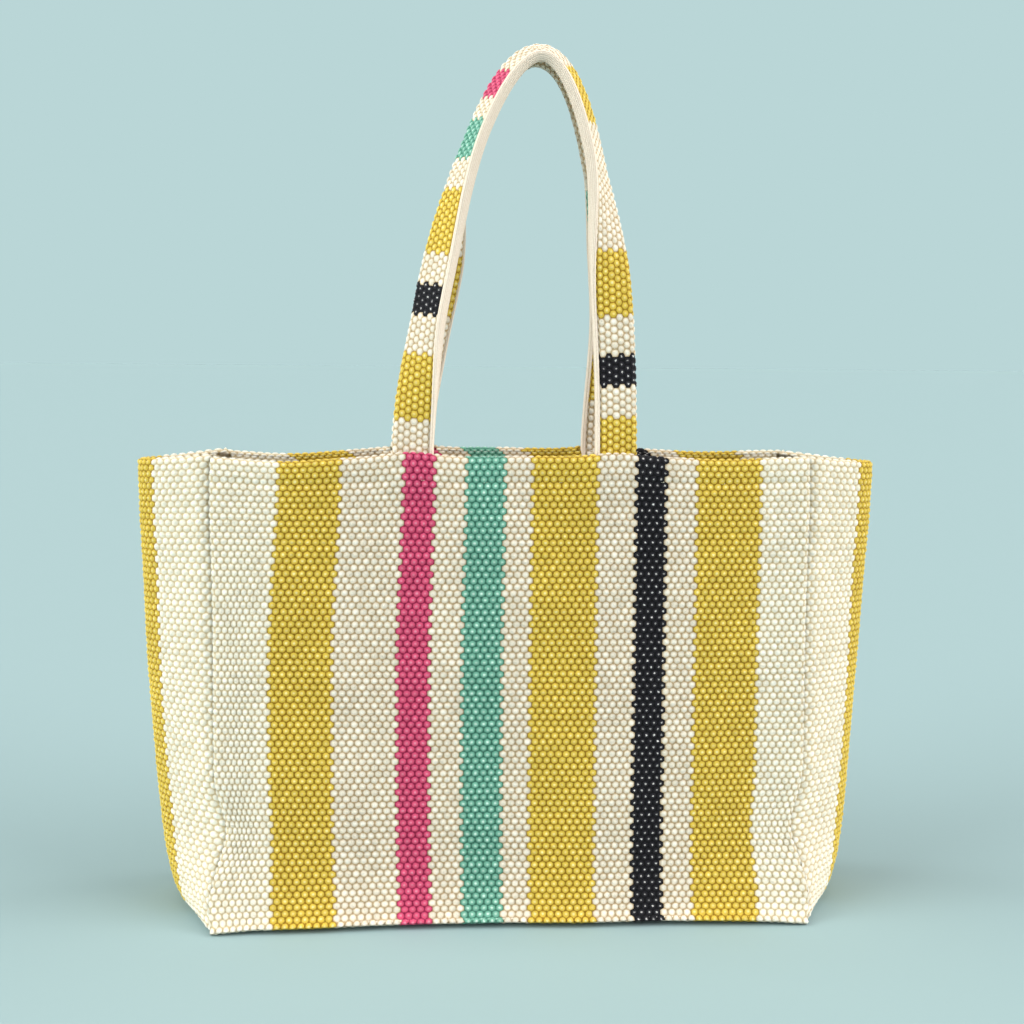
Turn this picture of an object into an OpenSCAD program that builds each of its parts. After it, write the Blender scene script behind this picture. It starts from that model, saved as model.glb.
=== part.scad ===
// Open-topped tote bag of thick striped handwoven cloth, with two strap handles.
// Millimetres, +Z up. The origin is on the floor under the middle of the bag, and the front faces -Y.

/* [Body] */
// Width of the front and back panels between the corner seams
panel_w = 480; // [420:5:540]
// Height from the floor to the rim
bag_h = 380; // [340:5:430]
// Half the width of a side panel's cloth, which is also half the depth of the base
side_half = 76; // [72:1:84]
// How far a side panel's crease stands out from the seams at the rim
side_bow = 64; // [50:1:66]
// How far the same crease stands out at the floor
floor_bow = 22; // [16:1:28]
// Roundness of the side panel's crease, from sharp to soft
crease_r = 0.5; // [0.45:0.05:0.8]
// How far the front and back panels bow out at the rim
rim_bow = 14; // [6:1:18]
// How far the front and back panels bow out at the floor; they bow in where it is negative
base_bow = -6; // [-8:1:2]
// How much lower the rim is at the side creases
rim_dip = 6; // [0:1:10]
// Thickness of the woven cloth
cloth_t = 4; // [3:0.5:4.5]

/* [Hem and seams] */
// Height of the hem turned to the inside of the rim
hem_h = 22; // [18:1:30]
// Thickness of the turned hem
hem_t = 2.5; // [1.5:0.5:2.5]
// Width of the binding along each inside seam
binding_w = 13; // [8:1:14]
// Thickness of the binding
binding_t = 1.6; // [1:0.2:2]
// Pitch of the stitches along the hem
stitch_pitch = 12; // [10:1:20]
// Length of one stitch
stitch_l = 7; // [5:1:8]
// Thickness and height of one stitch
stitch_t = 0.8; // [0.6:0.1:1.2]

/* [Handles] */
// Width of a handle strap
strap_w = 33; // [26:1:38]
// Thickness of a handle strap
strap_t = 9; // [8:0.5:10]
// Thickness of the webbing inside a strap, which shows along one edge of it
core_t = 5; // [4:0.5:5.5]
// Distance from the bag's middle to each leg of a handle
leg_x = 81.5; // [70:0.5:95]
// Rise of the handles above the rim
handle_rise = 316; // [260:2:360]
// How far the top of each handle hangs over to the right
handle_sway = 20; // [0:1:25]
// How far the back handle stands further to the right than the front one
back_shift = 8; // [0:1:12]
// Turn of a strap half way up its left leg, from edge on towards the outside, in degrees
mid_turn = 48; // [20:2:60]
// Turn of the front handle's strap at its top, in degrees
top_turn = 22; // [0:2:45]
// Turn of the back handle's strap at its top, in degrees; towards the inside where it is negative
back_top_turn = -10; // [-20:2:45]
// Space between the two handles where they lean together
handle_gap = 1.4; // [1:0.2:4]

/* [Hidden] */

// Clearance between layers of cloth that lie on each other
gap = 0.2;
// Height above the rim where a handle's fixed end stops and its moving part starts
neck_h = 4;
// Clearance between the two, so that the handle can swing
neck_gap = 0.8;
// Corner chamfers of a strap's section, at the folded edge and at the edge where the webbing shows
fold_chamfer = 2;
edge_chamfer = 0.6;
// Rings along a handle
strap_rings = 64;
// Exponent of the handle's arch: its height follows the sine of the ring's angle to this power
arch_power = 1.25;
// Exponent of the handle's sway over its height
sway_power = 1.3;
// Heights over which a left leg turns from flat on the panel to the turn half way up, and from
// there to the turn at its top
left_turn = [0, 110];
upper_turn = [135, 255];
// Heights over which a right leg turns from flat on the panel to the turn at its top
right_turn = [105, 240];
// Shares of its height over which the back handle moves to the right, and back again
shift_out = [0, 0.4];
shift_back = [0.45, 0.75];
// How far each handle end reaches down behind the panel
end_h = 20;
// Width of the ramp by which the hem climbs over a handle end
ramp_w = 15;
// Exponents of how fast the side and front walls bow out above the floor
side_power = 0.27;
face_power = 0.7;
// Share of the height over which the side panels' lowest cloth turns in to the base
turn_share = 0.06;

cloth = [0.91, 0.88, 0.79];
mustard = [0.84, 0.72, 0.24];
thread = [0.80, 0.72, 0.52];
tape = [0.86, 0.80, 0.68];

half_w = panel_w / 2;
end_off = cloth_t + gap;
// Rows of the walls, as shares of the height, closer together near the floor and the rim
wall_rows = [0, 0.008, 0.02, 0.04, 0.07, 0.11, 0.16, 0.23, 0.33, 0.45, 0.6, 0.75, 0.88, 0.942, 1];
face_cols = [for (i = [-10:10]) i / 10];
side_cols = [for (i = [-10:10]) sign(i) * pow(abs(i) / 10, 1.3)];
hem_rows = [0, 0.5, 1];
// The hem's columns crowd where it climbs over the handle ends
hem_climb = [-32, -27, -22, -17, 0, 17, 22, 27, 32];
hem_cols = concat(
    [-234, -180, -140],
    [for (x = hem_climb) x - leg_x],
    [-25, 0, 25],
    [for (x = hem_climb) x + leg_x],
    [140, 180, 234]
);

// Smooth step from 0 to 1, and smooth fall from 1 to 0 between two values of v
function smooth(k) = let (c = min(1, max(0, k))) c * c * (3 - 2 * c);
function fall(v, span) = 1 - smooth((v - span[0]) / (span[1] - span[0]));
function unit(v) = v / norm(v);

// Bow of a side panel at height z, and the half-depth of the bag at its corner seams there:
// the panel's cloth keeps its width, so the more it bows out, the nearer its seams come together.
function side_bow_at(z) = floor_bow + (side_bow - floor_bow) * pow(z / bag_h, side_power);
function corner_y(z) = sqrt(pow(side_half, 2) - pow(side_bow_at(z), 2));
function face_bow_at(z) = base_bow + (rim_bow - base_bow) * pow(z / bag_h, face_power);

// Point of the front wall, off below its outer face, at x across and z up
function front_at(x, z, off) =
    [x, off - cloth_t - corner_y(z) - face_bow_at(z) * (1 - pow(x / half_w, 2)), z];
function back_at(x, z, off) = let (p = front_at(x, z, off)) [p.x, -p.y, p.z];

// Outline of a side panel, t from -1 at its front seam to 1 at its back seam, 0 at its crease
function crease_scale() = sqrt(1 + crease_r * crease_r) - crease_r;
function crease(t) = (sqrt(t * t + crease_r * crease_r) - crease_r) / crease_scale();
function crease_slope(t) = t / sqrt(t * t + crease_r * crease_r) / crease_scale();
function side_normal(t, z) = unit([corner_y(z), side_bow_at(z) * crease_slope(t)]);
// Near the floor the side panel runs almost level, so its thickness is measured upwards there
function turn_at(z) = max(0, 1 - z / (turn_share * bag_h));
function right_at(t, z, off) =
    let (n = side_normal(t, z))
    [
        half_w + side_bow_at(z) * (1 - crease(t)) - off * n.x,
        (corner_y(z) - gap) * t - off * n.y,
        z - rim_dip * (z / bag_h) * (1 - t * t) + off * turn_at(z)
    ];
function left_at(t, z, off) = let (p = right_at(t, z, off)) [-p.x, p.y, p.z];

// Closed slab of cloth between an outer and an inner grid of points. Seen from outside, the
// columns run to the right and the rows run up.
module slab(outer, inner) {
    rows = len(outer);
    cols = len(outer[0]);
    half = rows * cols;
    function at(r, c) = r * cols + c;
    function quad(a, b, c, d) = [[a, b, c], [a, c, d]];
    skins = [
        for (r = [0:rows - 2], c = [0:cols - 2])
            let (a = at(r, c), b = at(r + 1, c), d = at(r + 1, c + 1), e = at(r, c + 1))
            each concat(quad(a, b, d, e), quad(half + a, half + e, half + d, half + b))
    ];
    ends = [
        for (r = [0:rows - 2])
            let (a = at(r, 0), b = at(r + 1, 0), d = at(r, cols - 1), e = at(r + 1, cols - 1))
            each concat(quad(a, half + a, half + b, b), quad(d, e, half + e, half + d))
    ];
    edges = [
        for (c = [0:cols - 2])
            let (a = at(0, c), b = at(0, c + 1), d = at(rows - 1, c), e = at(rows - 1, c + 1))
            each concat(quad(a, b, half + b, half + a), quad(d, half + d, half + e, e))
    ];
    polyhedron(
        points = concat([for (row = outer) each row], [for (row = inner) each row]),
        faces = concat(skins, ends, edges),
        convexity = 8
    );
}

// Patch on a wall: at(column, height, offset) gives the wall's points, off0 is the patch's
// outer face and off1 its inner one, both as functions of the column
module patch(at, cols, heights, off0, off1) {
    slab(
        [for (z = heights) [for (c = cols) at(c, z, off0(c))]],
        [for (z = heights) [for (c = cols) at(c, z, off1(c))]]
    );
}

module wall(at, cols) {
    patch(at, cols, [for (s = wall_rows) s * bag_h], function (c) 0, function (c) cloth_t);
}

function reversed(list) = [for (i = [len(list) - 1:-1:0]) list[i]];
function scaled(list, k) = [for (v = list) v * k];

module front_panel() {
    color(cloth) wall(function (x, z, off) front_at(x, z, off), scaled(face_cols, half_w));
}

module back_panel() {
    color(cloth) wall(function (x, z, off) back_at(x, z, off), reversed(scaled(face_cols, half_w)));
}

module right_side_panel() {
    color(mustard) wall(function (t, z, off) right_at(t, z, off), side_cols);
}

module left_side_panel() {
    color(mustard) wall(function (t, z, off) left_at(t, z, off), reversed(side_cols));
}

// Flat base inside the lower edges of the four walls, with ends that follow the side panels
module base_panel() {
    base_x = half_w - cloth_t - gap;
    base_y = corner_y(cloth_t) - 2 * gap;
    back_edge = [for (k = face_cols) [k * base_x, base_y + base_bow * (1 - k * k)]];
    right_end = [
        for (t = reversed(scaled(side_cols, 0.88)))
            let (p = right_at(t, 0, cloth_t + gap)) [p.x, p.y]
    ];
    left_end = [for (p = reversed(right_end)) [-p.x, p.y]];
    front_edge = [for (p = reversed(back_edge)) [p.x, -p.y]];
    color(cloth)
        linear_extrude(cloth_t)
            polygon(concat(back_edge, right_end, front_edge, left_end));
}

// How far the hem stands off the panel at x: it climbs over the two handle ends
function hem_climb_at(x) =
    (strap_t + gap) * smooth((strap_w / 2 + gap + ramp_w - abs(abs(x) - leg_x)) / ramp_w);
function hem_heights() = [for (k = hem_rows) bag_h - hem_h * (1 - k)];

module face_hem(at, cols) {
    patch(
        at, cols, hem_heights(),
        function (x) end_off + hem_climb_at(x),
        function (x) end_off + hem_climb_at(x) + hem_t
    );
}

module side_hem(at, cols) {
    patch(at, cols, hem_heights(), function (t) end_off, function (t) end_off + hem_t);
}

module front_hem() {
    color(cloth) face_hem(function (x, z, off) front_at(x, z, off), hem_cols);
}

module back_hem() {
    color(cloth) face_hem(function (x, z, off) back_at(x, z, off), reversed(hem_cols));
}

module right_side_hem() {
    color(mustard) side_hem(function (t, z, off) right_at(t, z, off), scaled(side_cols, 0.9));
}

module left_side_hem() {
    color(mustard) side_hem(function (t, z, off) left_at(t, z, off), reversed(scaled(side_cols, 0.9)));
}

// One stitch lying just outside a wall, from column c0 to c1, middle at height z
module stitch(at, c0, c1, z) {
    patch(
        at, [c0, c1], [z - stitch_t, z + stitch_t],
        function (c) -2 * gap - stitch_t, function (c) -2 * gap
    );
}

// The row of stitches that holds the hem, right round the bag
module hem_stitching() {
    row_z = bag_h - hem_h + 2 * stitch_t;
    face_count = floor((panel_w - 2 * stitch_pitch) / stitch_pitch / 2);
    side_count = floor(side_half / stitch_pitch) - 1;
    share = stitch_l / side_half / 2;
    color(thread) {
        for (i = [-face_count:face_count]) {
            x = i * stitch_pitch;
            stitch(function (c, z, off) front_at(c, z, off), x - stitch_l / 2, x + stitch_l / 2, row_z);
            stitch(function (c, z, off) back_at(c, z, off), x + stitch_l / 2, x - stitch_l / 2, row_z);
        }
        for (i = [-side_count:side_count]) {
            t = i * stitch_pitch / side_half;
            stitch(function (c, z, off) right_at(c, z, off), t - share, t + share, row_z);
            stitch(function (c, z, off) left_at(c, z, off), t + share, t - share, row_z);
        }
    }
}

// Binding over one corner seam, on the inner face of the front or back wall. x0 and x1 are its
// edges, in the order in which they are seen from outside.
module seam_binding(at, x0, x1) {
    low = cloth_t + binding_w;
    high = bag_h - hem_h - gap;
    patch(
        at, [x0, x1], [for (s = wall_rows) low + (high - low) * s],
        function (x) cloth_t + gap, function (x) cloth_t + gap + binding_t
    );
}

binding_x0 = half_w - cloth_t - gap - binding_w;
binding_x1 = half_w - cloth_t - gap;

module front_left_seam_binding() {
    color(tape) seam_binding(function (x, z, off) front_at(x, z, off), -binding_x1, -binding_x0);
}

module front_right_seam_binding() {
    color(tape) seam_binding(function (x, z, off) front_at(x, z, off), binding_x0, binding_x1);
}

module back_left_seam_binding() {
    color(tape) seam_binding(function (x, z, off) back_at(x, z, off), -binding_x0, -binding_x1);
}

module back_right_seam_binding() {
    color(tape) seam_binding(function (x, z, off) back_at(x, z, off), binding_x1, binding_x0);
}

// Binding round the foot of the four walls, over the seam that joins them to the base
module base_seam_binding() {
    low = cloth_t + 3 * gap;
    heights = [low, low + binding_w / 3, low + 2 * binding_w / 3, cloth_t + binding_w - gap];
    near = function (c) cloth_t + 2 * gap;
    far = function (c) cloth_t + 2 * gap + binding_t;
    face = scaled(face_cols, half_w - cloth_t - 3 * binding_t);
    side = scaled(side_cols, 0.88);
    color(tape) {
        patch(function (x, z, off) front_at(x, z, off), face, heights, near, far);
        patch(function (x, z, off) back_at(x, z, off), reversed(face), heights, near, far);
        patch(function (t, z, off) right_at(t, z, off), side, heights, near, far);
        patch(function (t, z, off) left_at(t, z, off), reversed(side), heights, near, far);
    }
}

// Fixed end of a handle, flat between the panel and the hem. x0 and x1 are its edges, in the
// order in which they are seen from outside.
module handle_end(at, x0, x1) {
    patch(
        at, [x0, (x0 + x1) / 2, x1], [bag_h - end_h, bag_h - end_h / 2, bag_h, bag_h + neck_h - gap],
        function (x) end_off, function (x) end_off + strap_t
    );
}

leg_x0 = leg_x - strap_w / 2;
leg_x1 = leg_x + strap_w / 2;

module front_handle_left_end() {
    color(cloth) handle_end(function (x, z, off) front_at(x, z, off), -leg_x1, -leg_x0);
}

module front_handle_right_end() {
    color(mustard) handle_end(function (x, z, off) front_at(x, z, off), leg_x0, leg_x1);
}

module back_handle_left_end() {
    color(cloth) handle_end(function (x, z, off) back_at(x, z, off), -leg_x0, -leg_x1);
}

module back_handle_right_end() {
    color(mustard) handle_end(function (x, z, off) back_at(x, z, off), leg_x1, leg_x0);
}

// Two rows of stitches on the hem's inner face over each handle end
module handle_end_stitching() {
    deep = end_off + strap_t + gap + hem_t + gap;
    starts = [-1.5 * stitch_l, -0.5 * stitch_l + stitch_t, 0.5 * stitch_l + 2 * stitch_t];
    near = function (x) deep;
    far = function (x) deep + stitch_t;
    color(thread)
        for (side = [-1, 1], z = [bag_h - hem_h + 5, bag_h - 5], s = starts) {
            x = side * leg_x + s;
            heights = [z - stitch_t, z + stitch_t];
            patch(function (c, z, off) front_at(c, z, off), [x, x + stitch_l], heights, near, far);
            patch(function (c, z, off) back_at(c, z, off), [x + stitch_l, x], heights, near, far);
        }
}

// The two handles: how far each stands to the right, and its strap's turn at the top
front_hang = [0, top_turn];
back_hang = [back_shift, back_top_turn];

// Middle line of a handle, on the front side. The angle a runs from 0 at the left leg's foot over
// 90 at the top to 180 at the right leg's foot. The legs lean in until the two handles meet.
foot_y = front_at(leg_x, bag_h, end_off + strap_t / 2).y;
function top_y(turn) = -(strap_w * cos(turn) + strap_t * abs(sin(turn)) + handle_gap) / 2;
function handle_point(a, hang) =
    let (k = pow(sin(a), arch_power), aside = hang[0] * (1 - fall(k, shift_out)) * fall(k, shift_back))
    [
        -leg_x * cos(a) + handle_sway * pow(k, sway_power) + aside,
        foot_y + (top_y(hang[1]) - foot_y) * k,
        bag_h + neck_h + handle_rise * k
    ];
function handle_tangent(a, hang) =
    unit(handle_point(a + 0.05, hang) - handle_point(a - 0.05, hang));

// Turn of a strap's face at a height above its foot: 90 where it lies flat on the panel
function turn_of(rise, is_left, top) =
    is_left
        ? top + (90 - mid_turn) * fall(rise, left_turn) + (mid_turn - top) * fall(rise, upper_turn)
        : top + (90 - top) * fall(rise, right_turn);

// Outward normal of the strap's face
function handle_normal(a, hang) =
    let (
        t = handle_tangent(a, hang),
        turn = turn_of(handle_rise * pow(sin(a), arch_power), a < 90, hang[1]),
        n = cos(turn) * unit([-t.z, 0, t.x]) + [0, -sin(turn), 0]
    )
    unit(n - (n * t) * t);

// Sections of a strap: [along the width, along the normal]. The cover is a strip of cloth folded
// round the webbing, open at the edge where the width is negative. Each section is the outline
// of a strip, whose first half runs along one side of it and whose second half runs back.
function flipped(list) = [for (q = list) [q.x, -q.y]];
strap_hw = strap_w / 2;
strap_ht = strap_t / 2;
slot_ht = core_t / 2 + 3 * gap;
slot_end = strap_hw - (strap_ht - slot_ht);
flat_cols = [edge_chamfer - strap_hw, -strap_w / 6, strap_w / 6];
slot_cols = concat([-strap_hw], flat_cols, [slot_end - fold_chamfer]);
cover_outer = concat(
    [[-strap_hw, edge_chamfer - strap_ht]],
    [for (w = concat(flat_cols, [strap_hw - fold_chamfer])) [w, -strap_ht]],
    [[strap_hw, fold_chamfer - strap_ht]]
);
cover_inner = [for (w = concat(slot_cols, [slot_end])) [w, -slot_ht]];
cover_section = concat(
    cover_outer, reversed(flipped(cover_outer)), flipped(cover_inner), reversed(cover_inner)
);
core_lower = [for (w = concat(slot_cols, [slot_end - 2 * gap])) [w, -core_t / 2]];
core_section = concat(core_lower, reversed(flipped(core_lower)));

function strap_ring(section, a, hang) =
    let (
        m = handle_point(a, hang),
        n = handle_normal(a, hang),
        w = cross(n, handle_tangent(a, hang))
    )
    [for (q = section) m + q.x * w + q.y * n];

// One section swept along a handle from foot to foot. Its quads are cut along the same diagonal
// on both faces, so that the faces of the cover and the core stay parallel where they twist.
module strap(section, hang) {
    first = asin(pow(neck_gap / handle_rise, 1 / arch_power));
    step = (180 - 2 * first) / strap_rings;
    rings = [for (i = [0:strap_rings]) strap_ring(section, first + i * step, hang)];
    sides = len(section);
    last = sides * strap_rings;
    walls = [
        for (i = [0:strap_rings - 1], j = [0:sides - 1])
            let (k = (j + 1) % sides, a = i * sides + j, b = i * sides + k)
            each section[j].x < section[k].x
                ? [[a, b, b + sides], [a, b + sides, a + sides]]
                : [[a, b, a + sides], [b, b + sides, a + sides]]
    ];
    caps = [
        for (j = [0:sides / 2 - 2])
            let (a = j, b = j + 1, c = sides - 2 - j, d = sides - 1 - j)
            each [[a, c, b], [a, d, c], [last + a, last + b, last + c], [last + a, last + c, last + d]]
    ];
    polyhedron(points = [for (ring = rings) each ring], faces = concat(walls, caps), convexity = 8);
}

module front_handle_cover() {
    color(cloth) strap(cover_section, front_hang);
}

module front_handle_core() {
    color(tape) strap(core_section, front_hang);
}

module back_handle_cover() {
    color(cloth) mirror([0, 1, 0]) strap(cover_section, back_hang);
}

module back_handle_core() {
    color(tape) mirror([0, 1, 0]) strap(core_section, back_hang);
}

front_panel();
back_panel();
left_side_panel();
right_side_panel();
base_panel();
front_hem();
back_hem();
left_side_hem();
right_side_hem();
hem_stitching();
front_left_seam_binding();
front_right_seam_binding();
back_left_seam_binding();
back_right_seam_binding();
base_seam_binding();
front_handle_left_end();
front_handle_right_end();
back_handle_left_end();
back_handle_right_end();
handle_end_stitching();
front_handle_cover();
front_handle_core();
back_handle_cover();
back_handle_core();
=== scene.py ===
import math

import bpy
import numpy as np
from mathutils import Matrix, Vector


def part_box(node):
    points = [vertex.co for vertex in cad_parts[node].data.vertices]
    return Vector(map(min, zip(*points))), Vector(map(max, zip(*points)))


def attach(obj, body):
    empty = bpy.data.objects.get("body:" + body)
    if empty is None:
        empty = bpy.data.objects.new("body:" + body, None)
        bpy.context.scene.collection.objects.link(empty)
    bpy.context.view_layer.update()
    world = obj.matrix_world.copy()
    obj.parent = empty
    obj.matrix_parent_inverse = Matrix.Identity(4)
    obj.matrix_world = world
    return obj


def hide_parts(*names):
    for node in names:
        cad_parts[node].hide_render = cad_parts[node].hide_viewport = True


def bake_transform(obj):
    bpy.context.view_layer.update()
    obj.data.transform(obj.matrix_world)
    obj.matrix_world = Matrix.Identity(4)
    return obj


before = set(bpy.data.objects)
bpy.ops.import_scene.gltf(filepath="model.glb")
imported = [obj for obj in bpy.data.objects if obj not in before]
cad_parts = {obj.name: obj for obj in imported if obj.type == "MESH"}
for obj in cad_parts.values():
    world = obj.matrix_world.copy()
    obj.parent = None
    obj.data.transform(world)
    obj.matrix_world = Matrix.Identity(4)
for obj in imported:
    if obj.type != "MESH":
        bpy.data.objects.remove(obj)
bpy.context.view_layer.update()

# Lengths in this script are in millimetres, in the same frame as the CAD. Meshes are made in
# metres. Every shape function takes and returns numpy arrays.
MM = 0.001


def box_mm(node):
    low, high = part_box(node)
    return np.array(low) / MM, np.array(high) / MM


# ---------------------------------------------------------------- sizes, as in the CAD
PANEL_LOW, PANEL_HIGH = box_mm("front_panel")
HALF_W = (PANEL_HIGH[0] - PANEL_LOW[0]) / 2
BAG_H = PANEL_HIGH[2]
HEM_LOW = box_mm("front_hem")[0][2]
CLOTH_T = 4.0
GAP = 0.2
SIDE_HALF = 76.0          # half of a side panel's width, measured on the cloth
SIDE_BOW, FLOOR_BOW, SIDE_POWER = 64.0, 22.0, 0.27
RIM_BOW, BASE_BOW, FACE_POWER = 14.0, -6.0, 0.7
RIM_DIP = 6.0
CREASE_R = 0.5
STRAP_W, STRAP_T = 33.0, 9.0
LEG_X = 81.5
NECK_H = 4.0
HANDLE_SWAY, ARCH_POWER, SWAY_POWER = 20.0, 1.25, 1.3
HANDLE_GAP = 1.4
HANDLE_RISE = 316.0
BACK_SHIFT = 8.0
SHIFT_OUT, SHIFT_BACK = (0.0, 0.4), (0.45, 0.75)         # shares of the rise
MID_TURN, TOP_TURN, BACK_TOP_TURN = 48.0, 22.0, -10.0    # degrees
LEFT_TURN, UPPER_TURN, RIGHT_TURN = (0.0, 110.0), (135.0, 255.0), (105.0, 240.0)
END_H = 20.0              # how far a handle end reaches down behind the panel
RAMP_W = 15.0             # width of the ramp by which the hem climbs over a handle end
BINDING_W, BINDING_T = 13.0, 1.6
STITCH_PITCH, STITCH_L, STITCH_T = 12.0, 7.0, 0.8

# ---------------------------------------------------------------- weave
BEAD = 6.2                # distance between beads in a row
ROW = 5.05                # distance between rows
BEAD_RX, BEAD_RY = 2.95, 2.75
BEAD_H = 1.9              # height of a bead over the net between the beads
SEAM_R = 2.6              # radius at which the cloth turns into a corner seam
FOLD_R = 4.0              # radius of the fold between a wall and the base
BEAD_CLEAR = 0.9          # lifts the lowest row so that its beads end over the floor
RIM_R = 3.4               # radius of the fold at the rim
HEM_DEEP = 6.9            # depth of the hem's visible face under the wall's outer face
HEM_T = 2.3
WALL_BEADS, SIDE_BEADS, WALL_ROWS = 78, 25, 77
HEM_BEAD_H, BASE_BEAD_H, STRAP_BEAD_H = 1.5, 1.6, 1.5
BEAD_LEVEL = 0.7          # share of a bead's height that lies under the cloth's middle face

# ---------------------------------------------------------------- soft shape
FLARE, FLARE_H = 8.0, 70.0      # how far the walls' feet spread, and up to which height
FOOT_LIFT, SIDE_FOOT_LIFT, FOOT_LIFT_H = 3.0, 2.5, 45.0
NEAR_SEAM, NEAR_SEAM_W = 150.0, 90.0     # where the pull of a corner seam starts, and its width
NEAR_RIM = 90.0           # height under the rim over which the rim's wave dies out
LINING = CLOTH_T + 0.3    # depth of the walls' inner faces
TAPE_DEPTH = CLOTH_T + 0.35


def smooth(k):
    k = np.clip(k, 0, 1)
    return k * k * (3 - 2 * k)


def fall(v, span):
    low, high = span
    return 1 - smooth((v - low) / (high - low))


def hill(t):
    return np.exp(-t * t)


def unit(v):
    return v / np.linalg.norm(v, axis=-1, keepdims=True)


def rolled(e, ru, rd=None):
    """Way along and below the surface, at arc length e from the line where cloth turns down."""
    rd = ru if rd is None else rd
    phi = np.clip(e / ru, -math.pi / 2, math.pi / 2)
    return (
        ru * (1 - np.cos(phi)) + np.maximum(e - math.pi * ru / 2, 0),
        rd * (1 - np.sin(phi)),
    )


def hashed(a, b, seed):
    """A number from 0 to 1 for each pair, always the same for the same pair and seed."""
    s = np.sin(a * 12.9898 + b * 78.233 + seed * 37.719) * 43758.5453
    return s - np.floor(s)


# ---------------------------------------------------------------- surfaces of the bag
def side_bow(z):
    share = np.clip((z - FOLD_R) / BAG_H, 0, 1)
    return FLOOR_BOW + (SIDE_BOW - FLOOR_BOW) * share ** SIDE_POWER


def corner_y(z):
    return np.sqrt(SIDE_HALF ** 2 - side_bow(z) ** 2) + FLARE * np.clip(1 - z / FLARE_H, 0, 1) ** 2


def face_bow(z):
    return BASE_BOW + (RIM_BOW - BASE_BOW) * np.clip(z / BAG_H, 0.0001, 1) ** FACE_POWER


def crease(t):
    return (np.sqrt(t * t + CREASE_R ** 2) - CREASE_R) / (math.sqrt(1 + CREASE_R ** 2) - CREASE_R)


def crease_slope(t):
    return t / np.sqrt(t * t + CREASE_R ** 2) / (math.sqrt(1 + CREASE_R ** 2) - CREASE_R)


def pinch(z):
    """How far a corner seam is pulled in above the bottom corner, and pushed out just over it."""
    return 9.5 * hill((z - 78) / 26) - 3.5 * hill((z - 22) / 17) - 2 * hill((z - 340) / 50)


def leg(x, margin=0.0, ramp=4.0):
    """1 where a handle end lies behind the wall, 0 beside it."""
    return smooth((STRAP_W / 2 + margin + ramp - np.abs(np.abs(x) - LEG_X)) / ramp)


def climb(x):
    """How far the hem stands off the wall to make room for the handle ends."""
    return (STRAP_T + GAP) * leg(x, GAP, RAMP_W)


def foot_lift(x, z):
    """The bag stands on its four corners, so that the middle of each bottom edge is raised."""
    across = 1 - np.clip(np.abs(x) / HALF_W, 0, 1) ** 8
    return FOOT_LIFT * across * np.clip(1 - z / FOOT_LIFT_H, 0, 1) ** 2


def rim_wave(x, side):
    """The rim is pulled up a little at the handles and sinks between them and the corners."""
    return (
        3.4 * hill((np.abs(x) - LEG_X) / 26)
        - 5.0 * hill((x + 186) / 52)
        - 2.0 * hill((x - 170) / 36)
        + 0.72 * np.cos(x / 26 + 0.6 * side) * hill(x / 60)
    )


def seam_share(x):
    """0 over a wall's middle, growing to 1 at its corner seams."""
    return np.clip((np.abs(x) - NEAR_SEAM) / NEAR_SEAM_W, 0, 1)


def swell(x, z, side):
    """Soft undulation of a wall, outwards."""
    turn = 1.7 * side
    wave = (
        1.3 * np.sin(x / 47 + 1.3 + turn) * np.sin(z / 78 + 0.7)
        + 0.8 * np.sin(x / 29 - z / 66 + 2.1 + turn)
        + 0.5 * np.sin(x / 17 + z / 41 + turn) * np.sin(z / 33 + 1.1)
    )
    pocket = 2.3 * leg(x, 2, 16) * smooth((z - (BAG_H - 42)) / 30)
    hem_line = -0.9 * hill((z - HEM_LOW - 1.5) / 3.2) * (1 - 0.8 * leg(x, 0, 10))
    near_seam = seam_share(x)
    corner = near_seam ** 2 * (3.0 * hill((z - 30) / 26) - 2.2 * hill((z - 86) / 24))
    return wave * (1 - near_seam ** 3) + pocket + hem_line + corner


def lean(x, z):
    """The stripes on the left drift outwards under the rim."""
    across = smooth((x + HALF_W) / 45) * (1 - smooth((x + 190) / 250))
    down = smooth((BAG_H - z) / 170) * (1 - 0.35 * hill(z / 60))
    return -8.5 * across * down


def face_point(x, z, depth, side):
    """A point of the front wall (side -1) or back wall (side 1), depth under its outer face."""
    out = CLOTH_T + corner_y(z) + face_bow(z) * (1 - (x / HALF_W) ** 2) + swell(x, z, side)
    near_rim = np.clip((z - (BAG_H - NEAR_RIM)) / NEAR_RIM, 0, 1) ** 2
    return np.stack(
        [
            x - np.sign(x) * pinch(z) * seam_share(x) ** 2 + lean(x, z),
            side * (out - depth),
            z + foot_lift(x, z) + rim_wave(x, side) * near_rim,
        ],
        -1,
    )


def gusset_point(t, z, depth, side):
    """A point of the left (side -1) or right (side 1) panel. t is -1 at the front seam, 0 at the
    crease and 1 at the back seam."""
    wave = 1.0 * np.sin(z / 58 + 2 * t + side) + 0.6 * np.sin(z / 31 - 3 * t)
    bow = side_bow(z) + 1.6 * hill((z - 330) / 40)
    half = corner_y(z)
    normal = unit(np.stack([half, bow * crease_slope(t)], -1))
    proud = 2.0 * smooth((1 - np.abs(t)) * SIDE_HALF / 9)
    below = depth - proud - wave * (1 - t ** 4) * 0.8
    x = HALF_W + bow * (1 - crease(t)) - pinch(z) * np.abs(t) ** 3 - below * normal[..., 0]
    y = (half - GAP) * t - below * normal[..., 1]
    dip = RIM_DIP * (z / BAG_H) ** 2 * (1 - t * t)
    lift = SIDE_FOOT_LIFT * (1 - np.abs(t) ** 6) * np.clip(1 - z / FOOT_LIFT_H, 0, 1) ** 2
    return np.stack([side * x, y, z - dip + lift], -1)


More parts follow.
